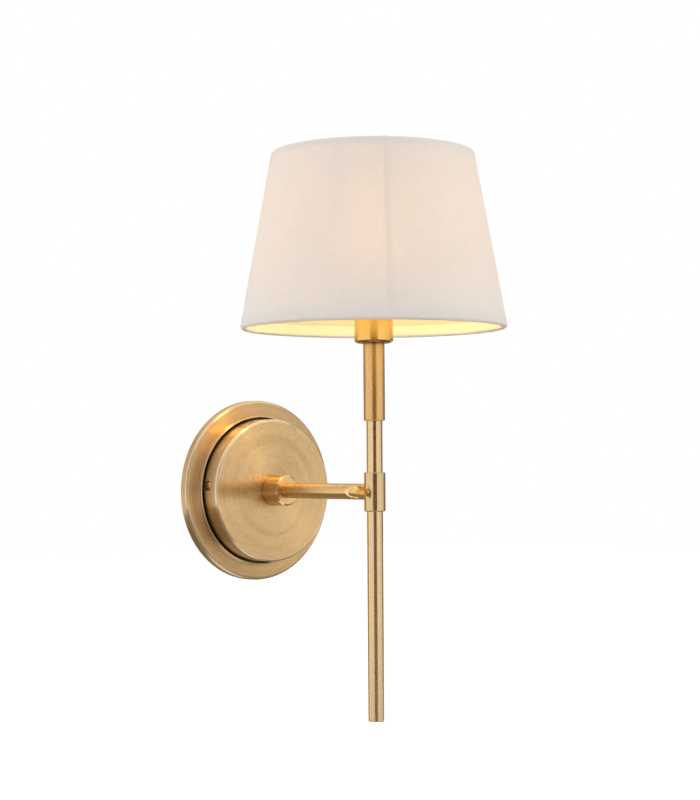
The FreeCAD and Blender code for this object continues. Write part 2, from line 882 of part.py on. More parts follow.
def bulb_filaments():
    """Glass stem with upright light sticks round it."""
    low = bulb_base + bulb_glass
    foot = low + filament_foot
    stem = pillar(filament_circle_d / 2 + filament_d, low, foot)
    mast = pillar(filament_d, low, foot + filament_length + mast_spare)
    solid = stem.fuse(mast)
    for i in range(filament_count):
        turn = 2 * math.pi * (i + 0.5) / filament_count
        middle = ROD + V(math.cos(turn), math.sin(turn), 0) * (filament_circle_d / 2)
        solid = solid.fuse(pillar(filament_d / 2, foot, foot + filament_length, middle))
    return solid.removeSplitter()


# ---------------------------------------------------------------- shade
def slant():
    """Foot and head of the line of ring wire centres, its direction and its outward side."""
    edge = ring_wire_d / 2 + fabric_thickness
    lean = math.atan2((shade_bottom_d - shade_top_d) / 2, shade_height)
    foot = V(shade_bottom_d / 2 - edge / math.cos(lean) - edge * math.tan(lean), 0,
             shade_bottom + edge)
    head = V(shade_top_d / 2 - edge / math.cos(lean) + edge * math.tan(lean), 0,
             shade_top - edge)
    along = (head - foot).normalize()
    out = V(along.z, 0, -along.x)
    return foot, head, along, out


def slanted_solid(corners):
    """Solid turned about the rod from corners (along, out, rounding) on the shade's slant."""
    foot, _, along, out = slant()
    wire = outline(corners, lambda p: ROD + foot + along * p.x + out * p.y)
    return Part.Face(wire).revolve(ROD, UP, 360)


def slant_length():
    foot, head = slant()[:2]
    return (head - foot).Length


def ring_at(point):
    wire = Part.Wire(Part.Circle(ROD + point, V(0, 1, 0), ring_wire_d / 2).toShape())
    return Part.Face(wire).revolve(ROD, UP, 360)


def shade_bottom_ring():
    return ring_at(slant()[0])


def carrier_arm(index, radius):
    """One sloping arm, from the edge of the middle ring to the upper ring wire."""
    head = slant()[1]
    turn = math.radians(carrier_first_arm + index * 360.0 / carrier_arms)
    outward = V(math.cos(turn), math.sin(turn), 0)
    foot_r = ring_nut_d / 2 + carrier_margin - carrier_wire_d / 2
    start = ROD + outward * foot_r + UP * (carrier_seat + carrier_wire_d / 2)
    end = ROD + outward * head.x + UP * head.z
    arm = Part.makeCylinder(radius, (end - start).Length, start, end - start)
    return arm.fuse(Part.makeSphere(radius, start))


def shade_carrier():
    """Welded wire frame: middle ring, sloping arms and the upper ring of the shade."""
    inner = holder_d / 2 + carrier_hole_gap
    outer = ring_nut_d / 2 + carrier_margin
    middle_ring = turned_up([
        (inner, carrier_seat),
        (outer, carrier_seat),
        (outer, carrier_seat + carrier_thickness),
        (inner, carrier_seat + carrier_thickness)])
    arms = [carrier_arm(i, carrier_wire_d / 2) for i in range(carrier_arms)]
    return ring_at(slant()[1]).fuse(arms + [middle_ring]).removeSplitter()


def shade_liner():
    wire_r = ring_wire_d / 2
    inside = wire_r - liner_thickness
    clear = math.sqrt(wire_r ** 2 - inside ** 2) + liner_end_gap
    length = slant_length()
    return slanted_solid([
        (clear, inside), (length - clear, inside), (length - clear, wire_r), (clear, wire_r)])


def shade_cover():
    """Fabric outside the liner, rolled in over both ring wires."""
    foot, _, along, out = slant()
    length = slant_length()
    wire_r = ring_wire_d / 2 + slip_gap
    outer = wire_r + fabric_thickness
    hem_inside = ring_wire_d / 2 - liner_thickness - slip_gap

    def at(u, v):
        return ROD + foot + along * u + out * v

    def hem(place, ahead):
        """Points of one rolled hem: outside, wire side and the turned-in end."""
        reach = math.hypot(hem_return, hem_inside)
        tangent = math.atan2(hem_inside, hem_return) - math.acos(wire_r / reach)
        across, rise = math.cos(tangent), math.sin(tangent)

        def around(radius, share):
            turn = math.pi / 2 + share * (1.5 * math.pi + tangent)
            return at(place + ahead * radius * math.cos(turn), radius * math.sin(turn))

        lip = (place + ahead * (hem_return + fabric_thickness * across),
               hem_inside + fabric_thickness * rise)
        return {
            "outside": [around(outer, share) for share in (0, 0.5, 1)],
            "lip": [at(*lip), at(place + ahead * hem_return, hem_inside)],
            "inside": [around(wire_r, share) for share in (1, 0.5, 0)]}

    def chain(edge_hem):
        """Edges of one rolled hem, from outside round to the inner face."""
        return [Part.Arc(*edge_hem["outside"]).toShape(),
                Part.LineSegment(edge_hem["outside"][2], edge_hem["lip"][0]).toShape(),
                Part.LineSegment(*edge_hem["lip"]).toShape(),
                Part.LineSegment(edge_hem["lip"][1], edge_hem["inside"][0]).toShape(),
                Part.Arc(*edge_hem["inside"]).toShape()]

    low = hem(0, 1)
    high = hem(length, -1)
    inner_face = Part.LineSegment(low["inside"][2], high["inside"][2]).toShape()
    outer_face = Part.LineSegment(high["outside"][0], low["outside"][0]).toShape()
    wire = Part.Wire(chain(low) + [inner_face] + chain(high)[::-1] + [outer_face])
    cover = Part.Face(wire).revolve(ROD, UP, 360)
    return cover.cut([carrier_arm(i, carrier_wire_d / 2 + slip_gap) for i in range(carrier_arms)])


# ---------------------------------------------------------------- wiring in the stem
def stem_flex():
    bend = rod_bore_r - slip_gap
    start = ROD + V(0, bend + slip_gap, 0)
    points = [start, ROD, ROD + UP * (sleeve_top - flex_d)]
    return tube_along(points, bend, flex_d)


def lampholder_cores():
    low = sleeve_top - flex_d
    high = contact_seat - wire_chamber_height / 2
    cores = []
    for side in (-1, 1):
        points = [
            ROD + V(side * core_spread / 2, 0, low),
            ROD + V(side * core_spread / 2, 0, chamber_bottom),
            ROD + V(side * terminal_spacing / 2, 0, high - holder_core_run),
            ROD + V(side * terminal_spacing / 2, 0, high)]
        cores.append(tube_along(points, holder_core_bend, core_d))
    return Part.makeCompound(cores)


PIECES = [
    wall_plate, mounting_bracket, bracket_rivets, drum_cover, cover_screws,
    terminal_block, terminal_poles, terminal_clamp_screws, terminal_block_screw,
    earth_washer, earth_screw, arm_boss, arm_nipple, nipple_washer, nipple_nut,
    arm_tube, stem_collar, cable_bush, arm_flex, live_core, neutral_core, earth_core,
    grip_pad, thumbscrew, thumbscrew_stud,
    stem_rod, rod_end_plug, stem_sleeve, sleeve_nipple, lampholder_cup, cup_nut,
    lampholder_body, contact_base, lampholder_terminals, centre_contact,
    lampholder_shell, shade_ring_nut, bulb_cap, bulb_envelope, bulb_filaments,
    shade_carrier, shade_bottom_ring, shade_liner, shade_cover,
    stem_flex, lampholder_cores]

os.makedirs("parts", exist_ok=True)
for make in PIECES:
    shape = make()
    if not shape.isValid() or not shape.Solids:
        raise ValueError(make.__name__ + " isn't a valid solid")
    shape.exportStep("parts/" + make.__name__ + ".step")
    print(make.__name__, len(shape.Solids), round(shape.Volume, 1))
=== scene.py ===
import logging
import math
from dataclasses import dataclass, field, replace
from enum import Enum

import bmesh
import bpy
from mathutils import Matrix, Vector


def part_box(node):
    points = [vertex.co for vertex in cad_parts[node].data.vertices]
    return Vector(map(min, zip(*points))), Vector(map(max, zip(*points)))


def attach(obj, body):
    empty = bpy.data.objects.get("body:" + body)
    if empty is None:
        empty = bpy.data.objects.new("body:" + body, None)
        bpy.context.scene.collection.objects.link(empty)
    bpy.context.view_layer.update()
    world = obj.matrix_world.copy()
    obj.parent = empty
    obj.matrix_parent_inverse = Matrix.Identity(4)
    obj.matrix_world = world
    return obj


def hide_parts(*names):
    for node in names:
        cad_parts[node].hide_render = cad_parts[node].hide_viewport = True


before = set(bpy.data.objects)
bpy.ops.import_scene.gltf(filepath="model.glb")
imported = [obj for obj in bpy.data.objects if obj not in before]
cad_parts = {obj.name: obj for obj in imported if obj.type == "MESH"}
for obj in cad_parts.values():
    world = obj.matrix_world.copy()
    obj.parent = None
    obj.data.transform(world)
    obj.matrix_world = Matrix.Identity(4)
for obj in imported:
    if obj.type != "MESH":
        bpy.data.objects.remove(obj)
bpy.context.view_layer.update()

# Looks of the fabric shade wall light: the finish of every piece, the sewn shade and a plain
# studio. Lengths are in metres and angles in degrees. The wall is the plane Y = 0, the light
# stands out along -Y and Z runs up. An azimuth of 0 looks at the light from straight in front,
# and a positive one from its right.

LOG = logging.getLogger("wall_light")
Colour = tuple[float, float, float]
Point = tuple[float, float, float]
Socket = bpy.types.NodeSocket
MM = 0.001
NOISE_BODY = (0.3, 0.7)     # most values of a noise lie between these


class Spin(Enum):
    """The line that a turned piece was spun and brushed about."""

    ARM = "arm"
    ROD = "rod"


class Weave(Enum):
    """The two thread directions of the shade's cloth."""

    ROUND = "round"
    UPRIGHT = "upright"


def rod_line() -> Vector:
    """A point on the rod's middle line, at the arm's height."""
    low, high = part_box("stem_rod")
    return Vector(((low.x + high.x) / 2, (low.y + high.y) / 2, 0.0))


def heading(azimuth: float) -> Vector:
    """Level direction from the light towards a viewer at that azimuth."""
    turn = math.radians(azimuth)
    return Vector((math.sin(turn), -math.cos(turn), 0.0))


# -------------------- shader graph
class Graph:
    """Adds, sets and joins the nodes of one material or world."""

    def __init__(self, tree: bpy.types.NodeTree) -> None:
        """Takes the node tree to fill, and empties it."""
        tree.nodes.clear()
        self.tree = tree

    def add(self, kind: str, **settings: object) -> bpy.types.Node:
        """Adds a node.

        Args:
            kind: Blender's name of the node type.
            settings: Attributes to set on the node.

        Returns:
            The new node.
        """
        node = self.tree.nodes.new(kind)
        for key, value in settings.items():
            setattr(node, key, value)
        return node

    def feed(self, socket: Socket, value: object) -> None:
        """Links a socket to another, or sets its value.

        Args:
            socket: The input to feed.
            value: An output socket, a number, a vector or a colour.
        """
        if isinstance(value, bpy.types.NodeSocket):
            self.tree.links.new(value, socket)
        elif (isinstance(value, (tuple, list, Vector))
              and len(socket.default_value) > len(value)):
            socket.default_value = (*value, 1.0)
        else:
            socket.default_value = value

    def math(self, operation: str, *values: object) -> Socket:
        """One Math node.

        Args:
            operation: Blender's name of the operation.
            values: Numbers or sockets, in order.

        Returns:
            The result.
        """
        node = self.add("ShaderNodeMath", operation=operation)
        for socket, value in zip(node.inputs, values):
            self.feed(socket, value)
        return node.outputs[0]

    def vector(self, operation: str, *values: object) -> Socket:
        """One Vector Math node.

        Args:
            operation: Blender's name of the operation.
            values: Vectors, numbers or sockets, in order. A plain number is the scale.

        Returns:
            The result, a number for lengths and dot products.
        """
        node = self.add("ShaderNodeVectorMath", operation=operation)
        if operation == "SCALE":
            self.feed(node.inputs[0], values[0])
            self.feed(node.inputs["Scale"], values[1])
        else:
            for socket, value in zip(node.inputs, values):
                self.feed(socket, value)
        single = operation in ("LENGTH", "DOT_PRODUCT", "DISTANCE")
        return node.outputs["Value" if single else "Vector"]

    def noise(self, where: Socket, scale: float = 1.0, detail: float = 2.0) -> Socket:
        """Noise from 0 to 1.

        Args:
            where: The coordinates.
            scale: Cells in a unit of them.
            detail: Octaves added.

        Returns:
            The noise's value.
        """
        node = self.add("ShaderNodeTexNoise")
        self.feed(node.inputs["Vector"], where)
        self.feed(node.inputs["Scale"], scale)
        self.feed(node.inputs["Detail"], detail)
        return node.outputs[0]

    def spread(self, value: Socket, low: float, high: float, to_low: float = 0.0,
               to_high: float = 1.0) -> Socket:
        """Maps a range of a value on to another, and holds it there.

        Args:
            value: The value to map.
            low: Where the range starts.
            high: Where it ends.
            to_low: What the start becomes.
            to_high: What the end becomes.

        Returns:
            The mapped value.
        """
        node = self.add("ShaderNodeMapRange")
        for socket, number in zip(node.inputs, (value, low, high, to_low, to_high)):
            self.feed(socket, number)
        return node.outputs[0]

    def tint(self, share: object, first: object, second: object) -> Socket:
        """Mixes two colours.

        Args:
            share: How much of the second colour.
            first: A colour or socket.
            second: A colour or socket.

        Returns:
            The mixed colour.
        """
        node = self.add("ShaderNodeMix", data_type="RGBA")
        self.feed(node.inputs["Factor"], share)
        self.feed(node.inputs["A"], first)
        self.feed(node.inputs["B"], second)
        return next(socket for socket in node.outputs if socket.type == "RGBA")

    def place(self) -> Socket:
        """Coordinates that move with the piece, in metres from the light's origin."""
        return self.add("ShaderNodeTexCoord").outputs["Object"]

    def bump(self, height: Socket, depth: float, strength: float = 1.0) -> Socket:
        """A normal that follows a height.

        Args:
            height: The height, from 0 to 1.
            depth: What a height of 1 is, in metres.
            strength: Share of the effect.

        Returns:
            The normal.
        """
        node = self.add("ShaderNodeBump")
        self.feed(node.inputs["Strength"], strength)
        self.feed(node.inputs["Distance"], depth)
        self.feed(node.inputs["Height"], height)
        return node.outputs[0]

    def shader(self, kind: str, **inputs: object) -> Socket:
        """A shader node with its inputs fed.

        Args:
            kind: Blender's name of the shader.
            inputs: Values or sockets by input name, with _ for a space.

        Returns:
            The shader.
        """
        node = self.add(kind)
        for key, value in inputs.items():
            self.feed(node.inputs[key.replace("_", " ")], value)
        return node.outputs[0]

    def blend(self, share: object, first: Socket, second: Socket) -> Socket:
        """Mixes two shaders.

        Args:
            share: How much of the second shader.
            first: A shader.
            second: A shader.

        Returns:
            The mixed shader.
        """
        node = self.add("ShaderNodeMixShader")
        self.feed(node.inputs[0], share)
        self.feed(node.inputs[1], first)
        self.feed(node.inputs[2], second)
        return node.outputs[0]

    def seen_directly(self) -> Socket:
        """1 for rays from the camera, a mirror or through glass, and 0 for light itself."""
        path = self.add("ShaderNodeLightPath").outputs
        either = self.math("MAXIMUM", path["Is Camera Ray"], path["Is Glossy Ray"])
        return self.math("MAXIMUM", either, path["Is Transmission Ray"])


# -------------------- finishes
@dataclass(frozen=True)
class Finish:
    """A finish: the material slot of the record that it belongs to, and its own name."""

    name: str
    slot: str

    def material(self) -> bpy.types.Material:
        """The finish's material, made when it is first asked for.

        Returns:
            The material.
        """
        made = bpy.data.materials.get(self.name)
        if made is None:
            made = bpy.data.materials.new(self.name)
            made.use_nodes = True
            graph = Graph(made.node_tree)
            surface = self.surface(graph)
            output = graph.add("ShaderNodeOutputMaterial")
            graph.feed(output.inputs["Surface"], surface)
        return made

    def surface(self, graph: Graph) -> Socket:
        """Builds the finish's shader; each finish has its own.

        Args:
            graph: The material's empty graph.

        Returns:
            The shader for the output.
        """
        raise NotImplementedError


@dataclass(frozen=True)
class Zone:
    """A zone of a turned piece, by a measure that grows or shrinks across it."""

    out: float      # weight of the distance from the spin line in the measure
    along: float    # and of the distance along it; -1 on the arm's line counts from the wall
    start: float    # measure at which the zone sets in
    end: float      # measure from which it is whole

    def share(self, graph: Graph, radius: Socket, distance: Socket) -> Socket:
        """How far a point is inside the zone.

        Args:
            graph: The material's graph.
            radius: Distance from the spin line.
            distance: Distance along the spin line.

        Returns:
            0 before the zone's start, 1 past its end.
        """
        where = graph.math("MULTIPLY_ADD", radius, self.out,
                           graph.math("MULTIPLY", distance, self.along))
        return graph.spread(where, self.start, self.end)


@dataclass(frozen=True)
class BrushedBrass(Finish):
    """Lacquered brass with fine strokes round the line that it was spun about, and zones of
    painted shade and painted highlight.
    """

    spin: Spin = Spin.ARM
    colour: Colour = (0.76, 0.515, 0.255)
    stroke_colour: Colour = (0.50, 0.305, 0.115)
    tarnish_colour: Colour = (0.60, 0.375, 0.155)
    # colour of the painted shade that darkens grooves and the places where parts meet
    painted_shade_colour: Colour = (0.045, 0.030, 0.010)
    # pale colour of the rounded rims: rubbed brass and a painted highlight
    wear_and_highlight_colour: Colour = (0.95, 0.80, 0.56)
    roughness: float = 0.33
    uneven: float = 0.065               # how far the strokes vary the roughness
    anisotropy: float = 0.90
    stroke_share: float = 0.42          # most that a stroke, a band and a cloud darken
    band_share: float = 0.40
    cloud_share: float = 0.18
    stroke_cut: tuple[float, float] = (0.40, 0.72)  # noise levels where they set in and
    band_cut: tuple[float, float] = (0.42, 0.70)    # are full
    cloud_cut: tuple[float, float] = (0.45, 0.75)
    stroke: float = 0.35 * MM           # width of a stroke and of a band
    band: float = 3.2 * MM
    strokes_round: float = 9.0          # noise cells in a radian round the spin line
    bands_round: float = 0.6
    radius_weight: float = 0.77         # of the radius, against 1 for the length
    cloud_scale: float = 28.0
    stroke_depth: float = 0.0012 * MM
    lacquer: float = 0.06
    lacquer_roughness: float = 0.24
    # zones darkened with painted shade, in grooves and where parts meet, and how dark at most
    painted_shade: tuple[Zone, ...] = ()
    painted_shade_share: float = 0.85
    # zones of rounded rims lightened as rubbed brass and painted highlight, and how far at
    # most
    wear_and_highlight: tuple[Zone, ...] = ()
    wear_and_highlight_share: float = 0.6

    def surface(self, graph: Graph) -> Socket:
        """Builds the strokes, the wider spinning bands, the painted shade, the painted rim
        highlights and the lacquer.

        Args:
            graph: The material's empty graph.

        Returns:
            The shader for the output.
        """
        axis = (0.0, 1.0, 0.0) if self.spin is Spin.ARM else (0.0, 0.0, 1.0)
        across = (1.0, 0.0, 1.0) if self.spin is Spin.ARM else (1.0, 1.0, 0.0)
        middle = Vector() if self.spin is Spin.ARM else rod_line()
        here = graph.vector("SUBTRACT", graph.place(), middle)
        radial = graph.vector("MULTIPLY", here, across)
        outward = graph.vector("NORMALIZE", radial)
        radius = graph.vector("LENGTH", radial)
        distance = graph.vector("DOT_PRODUCT", here, axis)
        sweep = graph.math("MULTIPLY_ADD", radius, self.radius_weight, distance)

        def track(pitch: float, cells: float) -> Socket:
            """Coordinates that run round the spin line and change fast across the strokes."""
            along = graph.vector("SCALE", axis, graph.math("DIVIDE", sweep, pitch))
            return graph.vector("ADD", graph.vector("SCALE", outward, cells), along)

        stroke = graph.noise(track(self.stroke, self.strokes_round), detail=3.0)
        band = graph.noise(track(self.band, self.bands_round), detail=2.0)
        cloud = graph.noise(graph.place(), scale=self.cloud_scale, detail=3.0)
        stroke_share = graph.spread(stroke, *self.stroke_cut, 0.0, self.stroke_share)
        band_share = graph.spread(band, *self.band_cut, 0.0, self.band_share)
        cloud_share = graph.spread(cloud, *self.cloud_cut, 0.0, self.cloud_share)
        colour = graph.tint(stroke_share, self.colour, self.stroke_colour)
        colour = graph.tint(band_share, colour, self.stroke_colour)
        colour = graph.tint(cloud_share, colour, self.tarnish_colour)
        # Lightens the rims (rubbed brass and painted highlight), then darkens grooves and
        # joints with painted shade.
        for zones, other, most in ((self.wear_and_highlight, self.wear_and_highlight_colour, self.wear_and_highlight_share),
                                   (self.painted_shade, self.painted_shade_colour, self.painted_shade_share)):
            for zone in zones:
                share = graph.math("MULTIPLY", zone.share(graph, radius, distance), most)
                colour = graph.tint(share, colour, other)
        rough = self.roughness
        if self.uneven:
            rough = graph.spread(stroke, 0.25, 0.75, self.roughness - self.uneven,
                                 self.roughness + self.uneven)
        relief = {"Normal": graph.bump(stroke, self.stroke_depth)} if self.stroke_depth else {}
        return graph.shader(
            "ShaderNodeBsdfPrincipled", Base_Color=colour, Metallic=1.0, Roughness=rough,
            Anisotropic=self.anisotropy, Coat_Weight=self.lacquer,
            Coat_Roughness=self.lacquer_roughness,
            Tangent=graph.vector("NORMALIZE", graph.vector("ADD", outward, axis)), **relief)


@dataclass(frozen=True)
class PolishedMetal(Finish):
    """Cast or turned metal, rubbed smooth, with faint smears and waviness."""

    colour: Colour = (0.78, 0.54, 0.24)
    # colour of the rubbed smears; no highlight is painted on this finish
    wear_and_highlight_colour: Colour = (0.60, 0.38, 0.15)
    roughness: float = 0.13
    smear_share: float = 0.5        # most of the worn colour in a smear
    smear_roughness: float = 0.12   # what a smear adds
    grain: float = 900.0
    grains_in_smear: float = 6.0
    wave: float = 0.02 * MM
    wave_strength: float = 0.6

    def surface(self, graph: Graph) -> Socket:
        """Builds the smears and the gentle waves of a hand-rubbed surface.

        Args:
            graph: The material's empty graph.

        Returns:
            The shader for the output.
        """
        place = graph.place()
        smear = graph.noise(place, scale=self.grain / self.grains_in_smear, detail=4.0)
        grain = graph.noise(place, scale=self.grain, detail=2.0)
        return graph.shader(
            "ShaderNodeBsdfPrincipled", Metallic=1.0,
            Base_Color=graph.tint(graph.spread(smear, 0.5, 0.75, 0.0, self.smear_share),
                                  self.colour, self.wear_and_highlight_colour),
            Roughness=graph.spread(smear, *NOISE_BODY, self.roughness,
                                   self.roughness + self.smear_roughness),
            Normal=graph.bump(grain, self.wave, self.wave_strength))


@dataclass(frozen=True)
class PlatedSteel(Finish):
    """Zinc or nickel plating: crystals of slightly different greys."""

    colour: Colour = (0.60, 0.61, 0.60)
    other_colour: Colour = (0.46, 0.48, 0.50)
    roughness: float = 0.32
    crystal: float = 700.0
    scratches: Point = (4000.0, 300.0, 500.0)   # cells in a metre, by direction
    scratch_depth: float = 0.008 * MM
    scratch_strength: float = 0.5

    def surface(self, graph: Graph) -> Socket:
        """Builds the plating's crystals and its fine scratches.

        Args:
            graph: The material's empty graph.

        Returns:
            The shader for the output.
        """
        place = graph.place()
        cells = graph.add("ShaderNodeTexVoronoi")
        graph.feed(cells.inputs["Vector"], place)
        graph.feed(cells.inputs["Scale"], self.crystal)
        crystal = graph.vector("DOT_PRODUCT", cells.outputs["Color"], (0.33, 0.33, 0.33))
        scratch = graph.noise(graph.vector("MULTIPLY", place, self.scratches))
        return graph.shader(
            "ShaderNodeBsdfPrincipled", Metallic=1.0,
            Base_Color=graph.tint(crystal, self.colour, self.other_colour),
            Roughness=graph.spread(scratch, *NOISE_BODY, self.roughness - 0.08,
                                   self.roughness + 0.10),
            Normal=graph.bump(scratch, self.scratch_depth, self.scratch_strength))


@dataclass(frozen=True)
class Moulding(Finish):
    """Moulded plastic, steatite or powder coat, with a fine surface grain."""

    colour: Colour = (0.7, 0.7, 0.68)
    speck_colour: Colour = (0.6, 0.6, 0.58)
    roughness: float = 0.45
    grain: float = 1800.0
    grain_depth: float = 0.02 * MM
    grains_in_cloud: float = 12.0
    coat: float = 0.0
    coat_roughness: float = 0.25

    def surface(self, graph: Graph) -> Socket:
        """Builds the grain and the slight clouding of the colour.

        Args:
            graph: The material's empty graph.

        Returns:
            The shader for the output.
        """
        place = graph.place()
        grain = graph.noise(place, scale=self.grain, detail=3.0)
        cloud = graph.noise(place, scale=self.grain / self.grains_in_cloud, detail=3.0)
        return graph.shader(
            "ShaderNodeBsdfPrincipled",
            Base_Color=graph.tint(graph.spread(cloud, 0.35, 0.75), self.colour,
                                  self.speck_colour),
            Roughness=graph.spread(grain, *NOISE_BODY, self.roughness - 0.06,
                                   self.roughness + 0.08),
            Coat_Weight=self.coat, Coat_Roughness=self.coat_roughness,
            Normal=graph.bump(grain, self.grain_depth))


@dataclass(frozen=True)
class CoreInsulation(Finish):
    """Insulation of a core, with a second colour in slanting stripes where it has one."""

    colour: Colour = (0.2, 0.1, 0.05)
    stripe_colour: Colour = (0.2, 0.1, 0.05)
    stripe_pitch: float = 5.0 * MM
    stripe_slant: Point = (0.35, 1.0, 1.0)
    scuff: float = 1500.0
    scuff_depth: float = 0.01 * MM
    clean_roughness: float = 0.30
    scuffed_roughness: float = 0.45

    def surface(self, graph: Graph) -> Socket:
        """Builds the stripes and the soft gloss.

        Args:
            graph: The material's empty graph.

        Returns:
            The shader for the output.
        """
        place = graph.place()
        slant = graph.vector("DOT_PRODUCT", place, self.stripe_slant)
        wave = graph.math("SINE", graph.math("MULTIPLY", slant, math.tau / self.stripe_pitch))
        scuff = graph.noise(place, scale=self.scuff, detail=3.0)
        return graph.shader(
            "ShaderNodeBsdfPrincipled",
            Base_Color=graph.tint(graph.spread(wave, -0.1, 0.1), self.colour,
                                  self.stripe_colour),
            Roughness=graph.spread(scuff, *NOISE_BODY, self.clean_roughness,
                                   self.scuffed_roughness),
            Normal=graph.bump(scuff, self.scuff_depth))


@dataclass(frozen=True)
class ShadeCloth(Finish):
    """Plain-woven linen that lets a little of the bulb's light through."""

    colour: Colour = (0.885, 0.91, 0.875)
    slub_colour: Colour = (0.80, 0.825, 0.78)
    glow_colour: Colour = (1.0, 0.55, 0.19)
    roughness: float = 0.92
    specular: float = 0.12
    sheen: float = 0.10
    sheen_roughness: float = 0.6
    through: float = 0.26           # share of the light that passes the cloth
    straight: float = 0.12          # share that passes as haze, a part of through
    haze_roughness: float = 0.88
    haze_bend: float = 1.28
    thread: float = 0.55 * MM
    thread_depth: float = 0.10 * MM
    thread_strength: float = 0.55
    slub_length: float = 110.0      # noise cells in a metre along a thread
    slub_width: float = 1500.0      # and across it
    slub_heights: tuple[float, float] = (0.7, 0.6)      # threads round, threads upright
    slub_shares: tuple[float, float] = (0.70, 0.40)
    weave_height: float = 0.35
    gap_share: float = 0.18

    def surface(self, graph: Graph) -> Socket:
        """Builds the weave with its slubs, and lets light through.

        Args:
            graph: The material's empty graph.

        Returns:
            The shader for the output.
        """
        where = graph.add("ShaderNodeUVMap").outputs[0]

        def threads(weave: Weave) -> tuple[Socket, Socket]:
            """The rounded threads of one direction, and their thick and thin places."""
            step = (0.0, 1.0, 0.0) if weave is Weave.ROUND else (1.0, 0.0, 0.0)
            cells = ((self.slub_length, self.slub_width, 1.0) if weave is Weave.ROUND
                     else (self.slub_width, self.slub_length, 1.0))
            count = graph.vector("DOT_PRODUCT", where, step)
            wave = graph.math("SINE", graph.math("MULTIPLY", count, math.pi / self.thread))
            slub = graph.noise(graph.vector("MULTIPLY", where, cells), detail=2.0)
            return wave, slub

        wave_round, slub_round = threads(Weave.ROUND)
        wave_up, slub_up = threads(Weave.UPRIGHT)
        over = graph.math("MULTIPLY", wave_round, wave_up)
        height = graph.math("MULTIPLY_ADD", over, self.weave_height, 0.5)
        height = graph.math("MULTIPLY_ADD", slub_round, self.slub_heights[0], height)
        height = graph.math("MULTIPLY_ADD", slub_up, self.slub_heights[1], height)
        slub = graph.math("ADD",
                          graph.spread(slub_round, 0.42, 0.76, 0.0, self.slub_shares[0]),
                          graph.spread(slub_up, 0.46, 0.80, 0.0, self.slub_shares[1]))
        gap = graph.spread(over, 0.2, 1.0, 0.0, self.gap_share)
        colour = graph.tint(graph.math("MAXIMUM", slub, gap), self.colour, self.slub_colour)
        normal = graph.bump(height, self.thread_depth, self.thread_strength)
        face = graph.shader("ShaderNodeBsdfPrincipled", Base_Color=colour,
                            Roughness=self.roughness, Specular_IOR_Level=self.specular,
                            Sheen_Weight=self.sheen, Sheen_Roughness=self.sheen_roughness,
                            Normal=normal)
        glow = graph.shader("ShaderNodeBsdfTranslucent", Color=self.glow_colour)
        haze = graph.shader("ShaderNodeBsdfRefraction", Color=self.glow_colour,
                            Roughness=self.haze_roughness, IOR=self.haze_bend)
        passed = graph.blend(self.straight / self.through, glow, haze)
        return graph.blend(self.through, face, passed)


@dataclass(frozen=True)
class ShadeLaminate(Finish):
    """The white backing sheet inside the cloth: reflects most light and passes some."""

    colour: Colour = (0.88, 0.85, 0.76)
    speck: float = 0.94             # brightness of the grain's darker specks
    roughness: float = 0.6
    through: float = 0.42           # share of the light that passes the sheet
    clear: float = 0.55             # and of it, what goes nearly straight on
    haze_roughness: float = 0.2
    haze_bend: float = 1.05
    grain: float = 2500.0
    grain_depth: float = 0.01 * MM

    def surface(self, graph: Graph) -> Socket:
        """Builds the backing's soft sheen and what it lets through.

        Args:
            graph: The material's empty graph.

        Returns:
            The shader for the output.
        """
        grain = graph.noise(graph.place(), scale=self.grain, detail=2.0)
        shade = graph.tint(graph.spread(grain, *NOISE_BODY), self.colour,
                           tuple(self.speck * part for part in self.colour))
        face = graph.shader("ShaderNodeBsdfPrincipled", Base_Color=shade,
                            Roughness=self.roughness,
                            Normal=graph.bump(grain, self.grain_depth))
        glow = graph.shader("ShaderNodeBsdfTranslucent", Color=self.colour)
        haze = graph.shader("ShaderNodeBsdfRefraction", Color=self.colour,
                            Roughness=self.haze_roughness, IOR=self.haze_bend)
        passed = graph.blend(self.clear, glow, haze)
        return graph.blend(self.through, face, passed)


@dataclass(frozen=True)
class LitSurface(Finish):
    """A surface that gives light: frosted glass of a lit bulb, or a light stick."""

    colour: Colour = (0.9, 0.86, 0.76)
    light_colour: Colour = (1.0, 0.77, 0.26)
    strength: float = 22.0
    roughness: float = 0.35
    roughness_range: float = 0.08   # either way, with the frost
    frost: float = 1600.0
    frost_depth: float = 0.01 * MM

    def surface(self, graph: Graph) -> Socket:
        """Builds the frosting and the light that comes out of it.

        Args:
            graph: The material's empty graph.

        Returns:
            The shader for the output.
        """
        frost = graph.noise(graph.place(), scale=self.frost, detail=3.0)
        return graph.shader(
            "ShaderNodeBsdfPrincipled", Base_Color=self.colour,
            Roughness=graph.spread(frost, *NOISE_BODY,
                                   self.roughness - self.roughness_range,
                                   self.roughness + self.roughness_range),
            Emission_Color=self.light_colour, Emission_Strength=self.strength,
            Normal=graph.bump(frost, self.frost_depth))


BOSS_FOOT = -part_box("drum_cover")[0].y      # where the boss stands on the drum
CUP_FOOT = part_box("lampholder_cup")[0].z    # where the cup stands on the sleeve
# Plate: painted shade on the floor of the groove round the drum, and rubbed brass with a
# painted highlight on the lip and the rounded outer edge.
PLATE_BRASS = BrushedBrass("plate_brass", "brushed_brass", lacquer=0.4,
                           painted_shade=(Zone(1.0, 0.0, 58.7 * MM, 58.4 * MM),),
                           wear_and_highlight=(Zone(0.0, -1.0, 7.4 * MM, 7.9 * MM),
                                 Zone(1.0, -1.0, 77.0 * MM, 77.9 * MM)))
